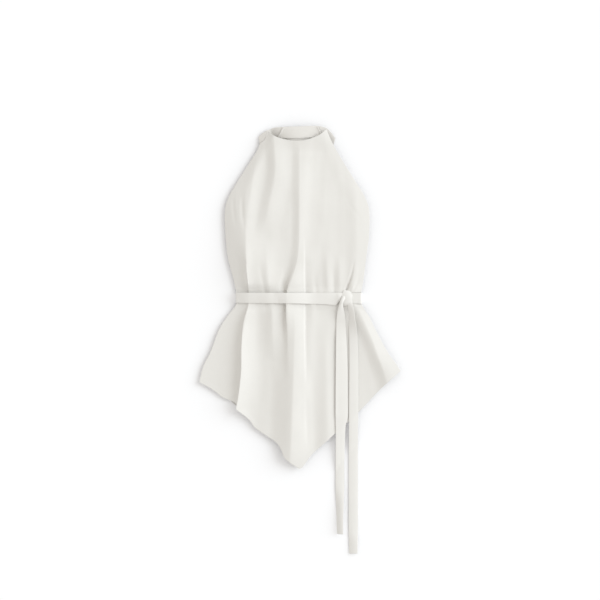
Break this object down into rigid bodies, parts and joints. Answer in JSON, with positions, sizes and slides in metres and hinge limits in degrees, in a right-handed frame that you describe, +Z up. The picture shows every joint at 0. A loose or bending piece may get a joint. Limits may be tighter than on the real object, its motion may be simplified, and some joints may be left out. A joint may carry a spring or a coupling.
{
  "type": "sleeveless top with tie belt, laid flat",
  "caption": "Ivory sleeveless high-neck top laid flat, front up, with a narrow tie belt knotted at the waist and a pointed, flared hem.",
  "frame": {"origin": "on the surface that the top lies on, under the middle of its whole outline, ties included", "axes": "+Y towards the neck, +X towards the right of someone who looks down at the front with the neck away from them, +Z up out of the front"},
  "size_m": [0.4825, 1.0254, 0.0265],
  "materials": {
    "cloth": "matte crepe",
    "cloth_inside": "matte crepe",
    "belt_cloth": "matte crepe"
  },
  "bodies": {
    "root": {"front": "cloth", "back": "cloth_inside", "neck_facing": "cloth_inside", "belt": "belt_cloth", "belt_knot": "belt_cloth", "tie_short": "belt_cloth", "tie_long": "belt_cloth"}
  },
  "joints": []
}
